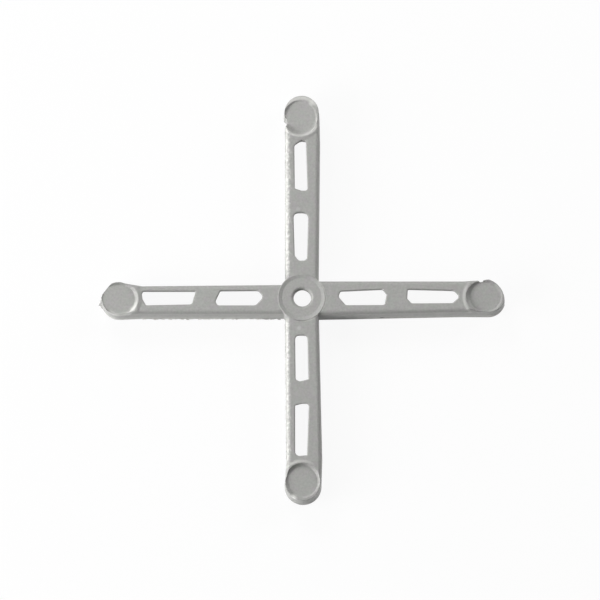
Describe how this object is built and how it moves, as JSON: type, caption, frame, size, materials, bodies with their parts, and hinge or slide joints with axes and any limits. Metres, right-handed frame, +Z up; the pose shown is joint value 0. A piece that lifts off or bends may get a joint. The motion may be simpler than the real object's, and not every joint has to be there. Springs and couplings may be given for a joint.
{
  "type": "tile spacer",
  "caption": "Grey moulded plastic cross-shaped tile spacer with slotted arms, round dished pads at the arm ends and a raised hub with a nail hole",
  "frame": {"origin": "on the underside, on the axis of the nail hole", "axes": "+X along one arm, +Y along the next, +Z up out of the dished side"},
  "size_m": [0.0598, 0.0608, 0.0047],
  "materials": {
    "grey_plastic": "satin injection-moulded, slightly mottled"
  },
  "bodies": {
    "root": {"spacer_cross": "grey_plastic"}
  },
  "joints": []
}
